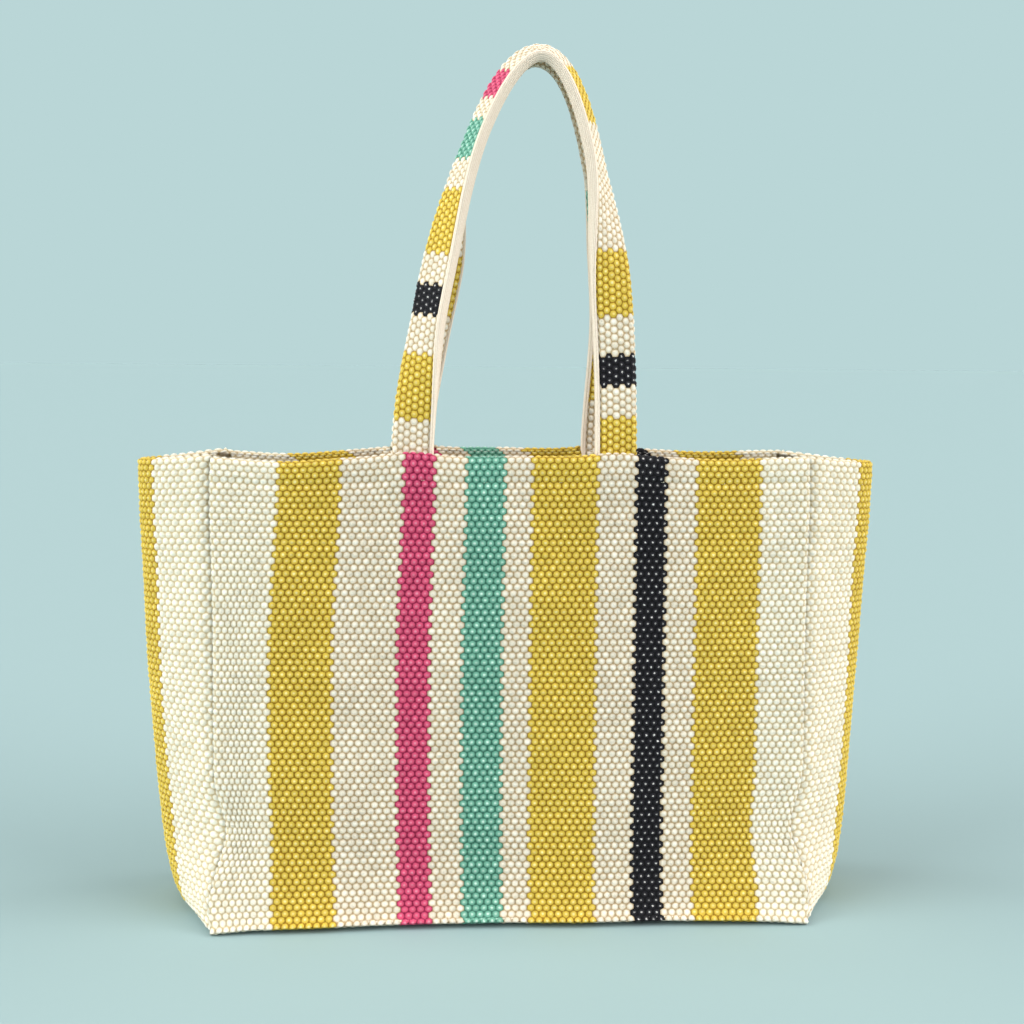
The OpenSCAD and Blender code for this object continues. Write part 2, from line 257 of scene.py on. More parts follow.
def handle_centre(a, shift, top_turn):
    """Middle line of a handle, on the front side, a from 0 at the left foot to pi at the right."""
    k = np.sin(a) ** ARCH_POWER
    turn = math.radians(top_turn)
    aside = shift * (1 - fall(k, SHIFT_OUT)) * fall(k, SHIFT_BACK)
    foot_y = -(corner_y(BAG_H) + face_bow(BAG_H) * (1 - (LEG_X / HALF_W) ** 2)) + GAP + STRAP_T / 2
    top_y = -(STRAP_W * math.cos(turn) + STRAP_T * abs(math.sin(turn)) + HANDLE_GAP) / 2
    return np.stack(
        [
            -LEG_X * np.cos(a) + HANDLE_SWAY * k ** SWAY_POWER + aside,
            foot_y + (top_y - foot_y) * k,
            BAG_H + NECK_H + HANDLE_RISE * k,
        ],
        -1,
    )


def strap_turn(rise, is_left, top):
    """Turn of a strap's face at a height above its foot: a right angle flat on the panel."""
    left = top + (90 - MID_TURN) * fall(rise, LEFT_TURN) + (MID_TURN - top) * fall(rise, UPPER_TURN)
    right = top + (90 - top) * fall(rise, RIGHT_TURN)
    return np.radians(np.where(is_left, left, right))


class StrapLine:
    """Middle line of a handle from one sewn-in end to the other, with the directions of its
    face's normal and of its width."""

    def __init__(self, side, shift, top_turn, steps=900):
        self.mirror = np.array([1.0, -side, 1.0])
        a = np.linspace(0, math.pi, steps + 2)[1:-1]
        sunk = np.linspace(END_H, 0.5 - NECK_H, 16)
        ends = [self.pocket(x, sunk) for x in (-LEG_X, LEG_X)]
        points = np.concatenate([ends[0], handle_centre(a, shift, top_turn), ends[1][::-1]])
        tangent = unit(np.gradient(points, axis=0))
        rise = np.clip(points[:, 2] - BAG_H - NECK_H, 0, None)
        is_left = np.arange(len(points)) < len(points) / 2
        turn = strap_turn(rise, is_left, top_turn)[:, None]
        across = np.stack([-tangent[:, 2], 0 * rise, tangent[:, 0]], -1)
        across = across / np.maximum(np.linalg.norm(across, axis=-1, keepdims=True), 1e-9)
        normal = np.cos(turn) * across + np.sin(turn) * np.array([0.0, -1.0, 0.0])
        normal = unit(normal - np.sum(normal * tangent, -1, keepdims=True) * tangent)
        self.points, self.normals, self.widths = points, normal, np.cross(normal, tangent)
        steps_along = np.linalg.norm(np.diff(points, axis=0), axis=-1)
        self.arc = np.concatenate([[0], np.cumsum(steps_along)])
        self.length = self.arc[-1]
        self.beads = int(round(self.length / BEAD))

    def pocket(self, x, sunk):
        z = BAG_H - sunk
        y = -(corner_y(z) + face_bow(z) * (1 - (x / HALF_W) ** 2)) + GAP + STRAP_T / 2
        return np.stack([np.full_like(z, x), y, z], -1)

    def along(self, values, s):
        return np.stack([np.interp(s, self.arc, values[:, i]) for i in range(3)], -1)

    def point(self, s, w, n):
        """A point at arc length s: w across the strap, n along its outward normal."""
        middle = self.along(self.points, s)
        width, normal = unit(self.along(self.widths, s)), unit(self.along(self.normals, s))
        return (middle + w[..., None] * width + n[..., None] * normal) * self.mirror


# ---------------------------------------------------------------- meshes
def make_object(name, points, faces, material, weave=None):
    """A mesh object from points in millimetres and lists of quads or longer faces."""
    mesh = bpy.data.meshes.new(name)
    sizes = np.concatenate([np.full(len(f), f.shape[1]) for f in faces])
    corners = np.concatenate([f.ravel() for f in faces]).astype(np.int32)
    mesh.vertices.add(len(points))
    mesh.vertices.foreach_set("co", (points * MM).astype(np.float32).ravel())
    mesh.loops.add(len(corners))
    mesh.loops.foreach_set("vertex_index", corners)
    mesh.polygons.add(len(sizes))
    starts = np.concatenate([[0], np.cumsum(sizes)[:-1]]).astype(np.int32)
    mesh.polygons.foreach_set("loop_start", starts)
    mesh.update(calc_edges=True)
    mesh.validate()
    mesh.polygons.foreach_set("use_smooth", np.ones(len(mesh.polygons), bool))
    if weave is not None:
        attribute = mesh.attributes.new("weave", "FLOAT_VECTOR", "POINT")
        attribute.data.foreach_set("vector", weave.astype(np.float32).ravel())
    mesh.materials.append(material)
    obj = bpy.data.objects.new(name, mesh)
    bpy.context.scene.collection.objects.link(obj)
    return obj


def quads(index):
    """Quads of a grid of vertex numbers, facing along d/dcolumn x d/drow."""
    return np.stack(
        [index[:-1, :-1], index[:-1, 1:], index[1:, 1:], index[1:, :-1]], -1
    ).reshape(-1, 4)


def grid_normals(points):
    return unit(np.cross(np.gradient(points, axis=1), np.gradient(points, axis=0)) + 1e-12)


def beads_at(p, q, seed):
    """Height, from 0 to about 1, of the rounded beads that lie in staggered rows."""
    best = np.zeros_like(p)
    for parity in (0, 1):
        row = 2 * np.round((q - parity) / 2) + parity
        col = np.round(p - parity / 2) + parity / 2
        size = 0.86 + 0.24 * hashed(col, row, seed)
        dx = (p - col) * BEAD + 0.5 * (hashed(col, row, seed + 1) - 0.5)
        dy = (q - row) * ROW + 0.7 * (hashed(col, row, seed + 2) - 0.5)
        dome = np.sqrt(np.clip(1 - (dx / BEAD_RX) ** 2 - (dy / BEAD_RY) ** 2, 0, 1))
        best = np.maximum(best, size * dome)
    return best


def woven(
    name, outer, inner, beads, rows, material, outward, seed, relief=BEAD_H, calm=None
):
    """A closed piece of woven cloth. outer(p, q) gives its visible face before the beads, for p
    beads across and q rows up, and inner(p, share) its other face. outward is a rough direction
    of the visible face. calm(p, q) is the share of the beads' height that stays."""
    per_bead, per_row, coarse = 4, 3, 6
    rows_fine = int(math.ceil(rows * per_row / coarse)) * coarse
    p, q = np.meshgrid(np.arange(beads * per_bead + 1) / per_bead,
                       np.linspace(0, rows, rows_fine + 1))
    face = outer(p, q)
    normal = grid_normals(face)
    turn = np.sign(np.sum(normal.mean((0, 1)) * np.array(outward)))
    height = (beads_at(p, q, seed) - BEAD_LEVEL) * relief
    if calm is not None:
        height = height * calm(p, q)
    face = face + normal * (turn * height)[..., None]

    p_back, share = p[::coarse], (q / rows)[::coarse]
    back = inner(p_back, share)
    points = np.concatenate([face.reshape(-1, 3), back.reshape(-1, 3)])
    weave = np.concatenate([
        np.stack([p, q, 0 * p], -1).reshape(-1, 3),
        np.stack([p_back, share * rows, 0 * p_back + 1], -1).reshape(-1, 3),
    ])
    front_index = np.arange(face[..., 0].size).reshape(face.shape[:2])
    back_index = front_index.size + np.arange(back[..., 0].size).reshape(back.shape[:2])
    faces = [quads(front_index), quads(back_index)[:, ::-1]]
    for row in (0, -1):
        strip = np.stack([front_index[row], back_index[row]])
        faces.append(quads(strip if row else strip[::-1]))
    for col in (0, -1):
        side = []
        for k in range(back_index.shape[0] - 1):
            edge = front_index[k * coarse:(k + 1) * coarse + 1, col]
            ring = np.concatenate([edge[::-1], back_index[k:k + 2, col]])
            side.append(ring[::-1] if col else ring)
        faces.append(np.array(side))
    if turn < 0:
        faces = [f[:, ::-1] for f in faces]
    return make_object(name, points, faces, material, weave)


def ring_faces(count, sides, first=0):
    index = first + np.arange(count * sides).reshape(count, sides)
    index = np.concatenate([index, index[:, :1]], 1)
    return [quads(index), index[:1, :-1][:, ::-1], index[-1:, :-1]]


def ring_mesh(name, rings, material, weave=None):
    """Closed solid through rings of points, an array of rings x points x 3."""
    faces = ring_faces(rings.shape[0], rings.shape[1])
    volume = np.mean(np.sum(
        np.cross(np.gradient(rings, axis=1), np.gradient(rings, axis=0))
        * (rings - rings.mean(1, keepdims=True)), -1))
    if volume < 0:
        faces = [f[:, ::-1] for f in faces]
    return make_object(name, rings.reshape(-1, 3), faces, material,
                       None if weave is None else weave.reshape(-1, 3))


# ---------------------------------------------------------------- materials
def linear(rgb):
    c = np.array(rgb) / 255
    c = np.where(c <= 0.04045, c / 12.92, ((c + 0.055) / 1.055) ** 2.4)
    return (*c.tolist(), 1.0)


class Graph:
    """A material's node tree, built by calls that take numbers or the sockets of other nodes."""

    def __init__(self, name):
        self.material = bpy.data.materials.new(name)
        self.material.use_nodes = True
        self.tree = self.material.node_tree
        self.tree.nodes.clear()

    def feed(self, socket, value):
        if isinstance(value, bpy.types.NodeSocket):
            self.tree.links.new(value, socket)
        else:
            socket.default_value = value

    def node(self, kind, inputs=(), **settings):
        made = self.tree.nodes.new(kind)
        for key, value in settings.items():
            setattr(made, key, value)
        for key, value in dict(inputs).items():
            self.feed(made.inputs[key], value)
        return made

    def math(self, operation, *values):
        made = self.tree.nodes.new("ShaderNodeMath")
        made.operation = operation
        for i, value in enumerate(values):
            self.feed(made.inputs[i], value)
        return made.outputs[0]

    def span(self, value, low, high, to_low=0.0, to_high=1.0, kind="SMOOTHSTEP"):
        made = self.node("ShaderNodeMapRange", {
            "Value": value, "From Min": low, "From Max": high,
            "To Min": to_low, "To Max": to_high}, interpolation_type=kind)
        return made.outputs["Result"]

    def mix(self, share, a, b, blend="MIX"):
        made = self.node("ShaderNodeMix", data_type="RGBA", blend_type=blend)
        self.feed(made.inputs[0], share)
        self.feed(made.inputs[6], a)
        self.feed(made.inputs[7], b)
        return made.outputs[2]

    def pick(self, share, a, b):
        """a where share is 0, b where it is 1."""
        return self.math("ADD", self.math("MULTIPLY", self.math("SUBTRACT", 1.0, share), a),
                         self.math("MULTIPLY", share, b))

    def bands(self, fac, stripes, colours):
        """A colour per stripe. stripes are (yarn, width), colours the colour of each yarn."""
        ramp = self.tree.nodes.new("ShaderNodeValToRGB")
        ramp.color_ramp.interpolation = "CONSTANT"
        total = sum(width for _, width in stripes)
        at = 0.0
        for i, (yarn, width) in enumerate(stripes):
            if i < 2:
                stop = ramp.color_ramp.elements[i]
                stop.position = at / total
            else:
                stop = ramp.color_ramp.elements.new(at / total)
            value = colours[yarn]
            stop.color = linear(value) if isinstance(value, tuple) else (value, value, value, 1.0)
            at += width
        self.feed(ramp.inputs["Fac"], fac)
        return ramp.outputs["Color"]

    def finish(self, colour, roughness, height=None, depth=MM, **constants):
        shader = self.node(
            "ShaderNodeBsdfPrincipled", {"Base Color": colour, "Roughness": roughness})
        for key, value in constants.items():
            shader.inputs[key.replace("_", " ")].default_value = value
        if height is not None:
            bump = self.node(
                "ShaderNodeBump", {"Height": height, "Strength": 1.0, "Distance": depth})
            self.tree.links.new(bump.outputs["Normal"], shader.inputs["Normal"])
        out = self.tree.nodes.new("ShaderNodeOutputMaterial")
        self.tree.links.new(shader.outputs["BSDF"], out.inputs["Surface"])
        return self.material


CREAM, PALE, MUSTARD = "cream", "pale", "mustard"
PINK, TEAL, BLACK = "pink", "teal", "black"
BEAD_CENTRE = {CREAM: (248, 243, 231), PALE: (252, 250, 239), MUSTARD: (243, 231, 160),
               PINK: (230, 140, 164), TEAL: (210, 238, 225), BLACK: (235, 232, 230)}
BEAD_RING = {CREAM: (236, 223, 199), PALE: (248, 239, 215), MUSTARD: (228, 196, 74),
             PINK: (222, 82, 120), TEAL: (118, 182, 158), BLACK: (24, 23, 30)}
# Colour of the net between the beads: the net yarn's own colour, darkened further as painted shade
# in the gaps
NET_AND_GAP_SHADE = {CREAM: (194, 167, 126), PALE: (212, 191, 148), MUSTARD: (160, 120, 26),
       PINK: (150, 30, 70), TEAL: (58, 118, 98), BLACK: (4, 4, 8)}
# Reach of the pale centre, as a share of the bead's radius
REACH = {CREAM: 0.80, PALE: 0.85, MUSTARD: 0.50, PINK: 0.50, TEAL: 0.52, BLACK: 0.32}

BODY_STRIPES = [(PALE, 8.75), (MUSTARD, 8), (CREAM, 8), (PINK, 4), (CREAM, 4), (TEAL, 5),
                (CREAM, 3.5), (MUSTARD, 8.5), (CREAM, 4.5), (BLACK, 4.5), (CREAM, 4),
                (MUSTARD, 8.25), (PALE, 7)]
SIDE_STRIPES = [(PALE, 7.75), (MUSTARD, 9.5), (PALE, 7.75)]
# Stripes along the handles, as lengths from the sewn-in left end
FRONT_STRIPES = [(CREAM, 49), (MUSTARD, 50), (CREAM, 28), (BLACK, 26), (CREAM, 29), (MUSTARD, 50),
                 (CREAM, 22.5), (TEAL, 34), (CREAM, 21), (PINK, 27), (CREAM, 51), (MUSTARD, 50),
                 (CREAM, 102), (MUSTARD, 50), (CREAM, 29), (BLACK, 26), (CREAM, 28), (MUSTARD, 50)]
BACK_STRIPES = [(TEAL, 37), (CREAM, 21), (PINK, 27), (CREAM, 51), (MUSTARD, 50), (CREAM, 100),
                (MUSTARD, 50), (CREAM, 155.5), (TEAL, 34), (CREAM, 21), (PINK, 27), (CREAM, 51),
                (MUSTARD, 50), (CREAM, 63)]


def woven_material(name, stripes, total, seed):
    """Beaded cloth: staggered beads with pale centres in a darker net, in stripes across p. The
    net's colour is made darker than its yarn as painted shade in the gaps between the beads.
    """
    g = Graph(name)
    weave = g.node("ShaderNodeAttribute", attribute_name="weave")
    parts = g.node("ShaderNodeSeparateXYZ", {"Vector": weave.outputs["Vector"]})
    p, q, inside = parts.outputs[0], parts.outputs[1], parts.outputs[2]

    def nearest(parity):
        half = g.math("MULTIPLY", g.math("SUBTRACT", q, float(parity)), 0.5)
        row = g.math("ADD", g.math("MULTIPLY", g.math("ROUND", half), 2.0), float(parity))
        col = g.math("ADD", g.math("ROUND", g.math("SUBTRACT", p, parity / 2)), parity / 2)
        dx = g.math("MULTIPLY", g.math("SUBTRACT", p, col), BEAD / BEAD_RX)
        dy = g.math("MULTIPLY", g.math("SUBTRACT", q, row), ROW / BEAD_RY)
        r = g.math("SQRT", g.math("ADD", g.math("MULTIPLY", dx, dx), g.math("MULTIPLY", dy, dy)))
        return col, row, r

    even, odd = nearest(0), nearest(1)
    is_odd = g.math("LESS_THAN", odd[2], even[2])
    col, row, r = (g.pick(is_odd, a, b) for a, b in zip(even, odd))

    cell = g.node("ShaderNodeCombineXYZ", {"X": col, "Y": row, "Z": float(seed)})
    random = g.node("ShaderNodeTexWhiteNoise", {"Vector": cell.outputs[0]}, noise_dimensions="3D")
    lot = random.outputs["Value"]
    place = g.node("ShaderNodeCombineXYZ", {
        "X": g.math("MULTIPLY", p, BEAD), "Y": g.math("MULTIPLY", q, ROW), "Z": seed * 31.0})
    place = place.outputs[0]
    fibre = g.node("ShaderNodeTexNoise", {
        "Vector": place, "Scale": 0.85, "Detail": 3.0, "Roughness": 0.7, "Distortion": 1.0})
    broad = g.node("ShaderNodeTexNoise", {"Vector": place, "Scale": 0.022, "Detail": 2.0})

    fac = g.math("DIVIDE", g.math("ADD", col, 0.001), float(total))
    centre = g.bands(fac, stripes, BEAD_CENTRE)
    ring = g.bands(fac, stripes, BEAD_RING)
    net_and_gap_shade = g.bands(fac, stripes, NET_AND_GAP_SHADE)
    reach = g.bands(fac, stripes, REACH)

    fray = g.math("MULTIPLY", g.math("SUBTRACT", fibre.outputs["Fac"], 0.5), 1.2)
    wobble = g.math("ADD", r, fray)
    core_edge = g.math("MULTIPLY", reach, 0.35)
    pale = g.math("MULTIPLY", g.span(wobble, core_edge, reach, 1.0, 0.0),
                  g.span(lot, 0.0, 1.0, 0.5, 1.0))
    # deep marks the gaps between the beads, where the net colour with its painted shade shows
    deep = g.span(wobble, 0.78, 1.04, 0.0, 1.0)
    colour = g.mix(deep, g.mix(pale, ring, centre), net_and_gap_shade)
    shade = g.math("ADD", g.span(lot, 0.0, 1.0, -0.05, 0.05, "LINEAR"),
                   g.span(broad.outputs["Fac"], 0.3, 0.7, -0.04, 0.04, "LINEAR"))
    shade = g.math("ADD", shade, g.span(fibre.outputs["Fac"], 0.3, 0.7, 0.78, 1.14, "LINEAR"))
    tinted = g.node("ShaderNodeHueSaturation", {"Color": colour, "Value": shade})

    dome = g.math("MULTIPLY", g.math("SUBTRACT", 1.0, g.math("MULTIPLY", r, r)), 1.5)
    dome = g.math("MULTIPLY", dome, inside)
    height = g.math("ADD", dome, g.math("MULTIPLY", fibre.outputs["Fac"], 1.1))
    rough = g.span(wobble, 0.1, 1.0, 0.62, 0.85)
    return g.finish(tinted.outputs["Color"], rough, height,
                    Sheen_Weight=0.05, Sheen_Roughness=0.5, Specular_IOR_Level=0.22)


def ribbed_material(name, colour, dark, rib, seed):
    """Webbing or tape: fine ribs along p, in millimetres across, with a slight mottling. The colour
    is darker in the grooves between the ribs as painted shade.
    """
    g = Graph(name)
    weave = g.node("ShaderNodeAttribute", attribute_name="weave")
    parts = g.node("ShaderNodeSeparateXYZ", {"Vector": weave.outputs["Vector"]})
    ribs = g.math("ABSOLUTE", g.math("SINE", g.math("MULTIPLY", parts.outputs[1], math.pi / rib)))
    twill = g.math("SINE", g.math("ADD", g.math("MULTIPLY", parts.outputs[0], 3.6),
                                  g.math("MULTIPLY", parts.outputs[1], 2.2)))
    place = g.node("ShaderNodeCombineXYZ", {
        "X": parts.outputs[0], "Y": parts.outputs[1], "Z": seed * 17.0})
    fibre = g.node("ShaderNodeTexNoise", {"Vector": place.outputs[0], "Scale": 0.9, "Detail": 3.0})
    # painted shade: the dark colour fills the grooves between the ribs, where the bump is low; the
    # fibre noise adds the webbing's own mottling
    share = g.math("MULTIPLY", g.span(ribs, 0.0, 0.6, 1.0, 0.0), 0.55)
    share = g.math("ADD", share, g.span(fibre.outputs["Fac"], 0.35, 0.75, 0.0, 0.3))
    tone = g.mix(share, linear(colour), linear(dark))
    height = g.math("ADD", g.math("MULTIPLY", ribs, 0.3), g.math("MULTIPLY", twill, 0.06))
    height = g.math("ADD", height, g.math("MULTIPLY", fibre.outputs["Fac"], 0.2))
    rough = g.span(fibre.outputs["Fac"], 0.3, 0.7, 0.6, 0.8)
    return g.finish(tone, rough, height, Sheen_Weight=0.15, Sheen_Roughness=0.5,
                    Specular_IOR_Level=0.35)


def thread_material(name):
    """Twisted thread: slanted plies across its length, which is p in millimetres. The colour is
    darker in the grooves between the plies as painted shade.
    """
    g = Graph(name)
    weave = g.node("ShaderNodeAttribute", attribute_name="weave")
    parts = g.node("ShaderNodeSeparateXYZ", {"Vector": weave.outputs["Vector"]})
    ply = g.math("SINE", g.math("ADD", g.math("MULTIPLY", parts.outputs[0], 6.0), parts.outputs[1]))
    # painted shade: darker colour in the grooves between the plies, where the bump is low
    tone = g.mix(g.span(ply, -1.0, 0.3, 0.6, 0.0), linear((232, 224, 200)), linear((176, 160, 124)))
    rough = g.span(ply, -1.0, 1.0, 0.7, 0.5)
    return g.finish(tone, rough, g.math("MULTIPLY", ply, 0.08), Sheen_Weight=0.1,
                    Specular_IOR_Level=0.4)


# ---------------------------------------------------------------- camera, light and floor
CAMERA_AT = Vector((-79.06, -1181.3, 459.2)) * MM
CAMERA_YAW, CAMERA_PITCH, CAMERA_ROLL = (math.radians(v) for v in (3.91, 6.24, 0.51))
CAMERA_LENS = 50.1        # on a 36 mm sensor


def make_camera():
    forward = Vector((
        math.sin(CAMERA_YAW) * math.cos(CAMERA_PITCH),
        math.cos(CAMERA_YAW) * math.cos(CAMERA_PITCH),
        -math.sin(CAMERA_PITCH),
    ))
    right = forward.cross(Vector((0, 0, 1))).normalized()
    up = right.cross(forward)
    across = right * math.cos(CAMERA_ROLL) + up * math.sin(CAMERA_ROLL)
    above = up * math.cos(CAMERA_ROLL) - right * math.sin(CAMERA_ROLL)
    data = bpy.data.cameras.new("camera")
    data.sensor_width = 36
    data.lens = CAMERA_LENS
    data.clip_end = 100
    camera = bpy.data.objects.new("camera", data)
    turn = Matrix((across, above, -forward)).transposed()
    camera.matrix_world = Matrix.Translation(CAMERA_AT) @ turn.to_4x4()
    bpy.context.scene.collection.objects.link(camera)
    bpy.context.scene.camera = camera


BACKDROP = (186, 214, 215)
AMBIENT = 0.37            # radiance of the even light from all round
SUNS = [                  # azimuth from the front, elevation, irradiance / pi, colour
    (-78, 20, 1.44, (0.97, 1.00, 0.98)),
    (76, 20, 1.33, (1.00, 0.97, 0.95)),
    (0, 62, 0.25, (1.00, 1.00, 1.00)),
]
SUN_ANGLE = 62
FLOOR_HALF = 60000.0
FLOOR_SHARE = 0.977       # makes up for the light that the floor gets back from the bag


def make_stage():
    """Large soft lights and a plain floor that has the backdrop's colour."""
    scene = bpy.context.scene
    scene.view_settings.view_transform = "Standard"
    floor_light = np.full(3, AMBIENT)
    for i, (azimuth, elevation, strength, colour) in enumerate(SUNS):
        data = bpy.data.lights.new(f"light_{i}", "SUN")
        data.energy = strength * math.pi
        data.angle = math.radians(SUN_ANGLE)
        data.color = colour
        light = bpy.data.objects.new(f"light_{i}", data)
        a, e = math.radians(azimuth), math.radians(elevation)
        source = Vector((math.sin(a) * math.cos(e), -math.cos(a) * math.cos(e), math.sin(e)))
        light.rotation_mode = "QUATERNION"
        light.rotation_quaternion = source.to_track_quat("Z", "Y")
        scene.collection.objects.link(light)
        floor_light += strength * math.sin(e) * np.array(colour)

    world = bpy.data.worlds.new("world")
    world.use_nodes = True
    nodes, links = world.node_tree.nodes, world.node_tree.links
    nodes.clear()
    seen = nodes.new("ShaderNodeBackground")
    seen.inputs["Color"].default_value = linear(BACKDROP)
    even = nodes.new("ShaderNodeBackground")
    even.inputs["Color"].default_value = (AMBIENT, AMBIENT, AMBIENT, 1)
    path = nodes.new("ShaderNodeLightPath")
    mixed = nodes.new("ShaderNodeMixShader")
    out = nodes.new("ShaderNodeOutputWorld")
    links.new(path.outputs["Is Camera Ray"], mixed.inputs[0])
    links.new(even.outputs[0], mixed.inputs[1])
    links.new(seen.outputs[0], mixed.inputs[2])
    links.new(mixed.outputs[0], out.inputs["Surface"])
    scene.world = world

    g = Graph("floor")
    albedo = FLOOR_SHARE * np.array(linear(BACKDROP)[:3]) / floor_light
    shader = g.node("ShaderNodeBsdfDiffuse", {"Color": (*albedo.tolist(), 1.0)})
    out = g.tree.nodes.new("ShaderNodeOutputMaterial")
    g.tree.links.new(shader.outputs[0], out.inputs["Surface"])
    corners = FLOOR_HALF * np.array([[-1, -1, 0], [1, -1, 0], [1, 1, 0], [-1, 1, 0]])
    floor = make_object("floor", corners, [np.array([[0, 1, 2, 3]])], g.material)


make_camera()
make_stage()

# ---------------------------------------------------------------- walls
BODY_CLOTH = woven_material("striped_cloth", BODY_STRIPES, WALL_BEADS, 1)
SIDE_CLOTH = woven_material("side_cloth", SIDE_STRIPES, SIDE_BEADS, 2)
WALL_LENGTH = BAG_H + FOLD_R * (math.pi / 2 - 1) + RIM_R * (math.pi - 1)
WALL_ROW = WALL_LENGTH / WALL_ROWS


def wall_height(q, rim_depth):
    """Height and depth under the outer face of row q of a wall, rolled at the floor and rim."""
    s = q * WALL_ROW
    low, low_depth = rolled(s, FOLD_R)
    low = low + BEAD_CLEAR * fall(s, (0, 30))
    under, rim = rolled(WALL_LENGTH - s - math.pi * RIM_R / 2, RIM_R, rim_depth / 2)
    return np.where(s < WALL_LENGTH / 2, low, BAG_H - under), low_depth + rim


def face_wall(name, side, seed, nodes):
    pitch = (2 * HALF_W + 2 * SEAM_R * (math.pi / 2 - 1)) / WALL_BEADS

    def across(p):
        way, depth = rolled(np.minimum(p, WALL_BEADS - p) * pitch, SEAM_R)
        return np.sign(p - WALL_BEADS / 2) * (HALF_W - way), depth

    def outer(p, q):
        x, seam_depth = across(p)
        rim_depth = (HEM_DEEP + climb(x)) * (1 - leg(x)) + CLOTH_T * leg(x)
        z, depth = wall_height(q, rim_depth)
        return face_point(x, z, seam_depth + depth, side)

    def inner(p, share):
        x, _ = across(p)
        z = 0.6 + (BAG_H - RIM_R - 1.0) * share
        return face_point(x, z, LINING, side)

    def calm(p, q):
        x, _ = across(p)
        return 1 - 0.35 * smooth((q - 72) / 3) * (1 - 0.6 * leg(x, 2, 12))

    wall = woven(
        name, outer, inner, WALL_BEADS, WALL_ROWS, BODY_CLOTH, (0, side, 0), seed, calm=calm)
    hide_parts(*nodes)
    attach(wall, "bag")


def side_wall(name, side, seed, nodes):
    pitch = (2 * SIDE_HALF + 2 * SEAM_R * (math.pi / 2 - 1)) / SIDE_BEADS

    def across(p):
        way, depth = rolled(np.minimum(p, SIDE_BEADS - p) * pitch, SEAM_R)
        return np.sign(p - SIDE_BEADS / 2) * (1 - way / SIDE_HALF), depth

    def outer(p, q):
        t, seam_depth = across(p)
        z, depth = wall_height(q, HEM_DEEP)
        return gusset_point(t, z, seam_depth + depth, side)

    def inner(p, share):
        t, _ = across(p)
        return gusset_point(t, 0.6 + (BAG_H - RIM_R - 1.0) * share, LINING, side)

    wall = woven(name, outer, inner, SIDE_BEADS, WALL_ROWS, SIDE_CLOTH, (side, 0, 0), seed)
    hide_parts(*nodes)
    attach(wall, "bag")


def base():
    rows, low, high = 28, 1.2, 4.6

    def place(p, v, depth):
        """p beads across, v from -1 at the front edge to 1 at the back edge."""
        u = p / (WALL_BEADS / 2) - 1
        ends = np.clip((np.abs(u) - 0.72) / 0.28, 0, 1)
        y = v * (corner_y(0) + face_bow(0) * (1 - u * u))
        far = FLOOR_BOW * (1 - crease(v)) - SEAM_R
        x = u * HALF_W + np.sign(u) * ends * far
        roll = SEAM_R * smooth((np.abs(u) - 0.965) / 0.035) ** 1.5
        lift = foot_lift(x, 0 * x) * v * v
        return np.stack([x, y, lift + roll + depth], -1)

    def outer(p, q):
        return place(p, q / rows * 2 - 1, low)

    def inner(p, share):
        return place(p, (share * 2 - 1) * 0.99, high)

    made = woven(
        "woven_base", outer, inner, WALL_BEADS, rows, BODY_CLOTH, (0, 0, -1), 5, BASE_BEAD_H)
    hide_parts("base_panel")
    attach(made, "bag")


face_wall("woven_front", -1, 11, ["front_panel"])
face_wall("woven_back", 1, 12, ["back_panel"])
side_wall("woven_left_side", -1, 13, ["left_side_panel"])
side_wall("woven_right_side", 1, 14, ["right_side_panel"])
base()


# ---------------------------------------------------------------- hems
def hem(name, point, beads, across, stand, nodes, material, outward, seed):
    """The cloth turned in at the rim. point(c, z, depth) is the wall, across(p) the place along
    it and stand(c) how far the hem stands off the wall."""
    rows, top, tuck_deep = 4, BAG_H - RIM_R - 0.3, 1.9

    def height(q):
        return top - q * (top - HEM_LOW) / rows

    def outer(p, q):
        c = across(p)
        tuck = tuck_deep * smooth((q - rows + 0.5) / 0.5)
        return point(c, height(q), HEM_DEEP + stand(c) - tuck)

    def inner(p, share):
        c = across(p)
        return point(c, height(share * rows), HEM_DEEP - HEM_T + stand(c))

    made = woven(name, outer, inner, beads, rows, material, outward, seed, HEM_BEAD_H)
    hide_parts(*nodes)
    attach(made, "bag")


def face_hem(name, side, node, seed):
    half = HALF_W - 6.5
    hem(
        name, lambda x, z, depth: face_point(x, z, depth, side), 76,
        lambda p: (p / 38 - 1) * half, climb, [node], BODY_CLOTH,
        (0, -side, 0), seed,
    )


def side_hem(name, side, node, seed):
    hem(
        name, lambda t, z, depth: gusset_point(t, z, depth, side), 22,
        lambda p: (p / 11 - 1) * 0.9, lambda t: 0 * t, [node], SIDE_CLOTH,
        (-side, 0, 0), seed,
    )


face_hem("hem_front", -1, "front_hem", 21)
face_hem("hem_back", 1, "back_hem", 22)
side_hem("hem_left", -1, "left_side_hem", 23)
side_hem("hem_right", 1, "right_side_hem", 24)

# ---------------------------------------------------------------- handles
COVER_HT = 4.2            # half the strap's thickness under the beads
COVER_T = 1.3
COVER_LIP = 1.2           # radius at the cover's two cut edges
COVER_OPEN = 2.4          # how far the cut edges stay back from the strap's edge
CORE_HT = 2.8             # half the webbing's thickness inside the cover
CORE_EDGE_HT = 4.5        # half its thickness at the edge that shows
RIB = 1.5                 # pitch of the webbing's ribs


def fit_stripes(stripes, total):
    """Stripes in beads along a handle, each edge at a quarter or three quarters of a bead so
    that it is scalloped. The last stripe takes what is left."""
    length = sum(width for _, width in stripes)
    fitted, along, start = [], 0.0, 0.0
    for yarn, width in stripes[:-1]:
        along += width * total / length
        edge = round(along * 2 - 0.5) / 2 + 0.25
        fitted.append((yarn, edge - start))
        start = edge
    return fitted + [(stripes[-1][0], total - start)]


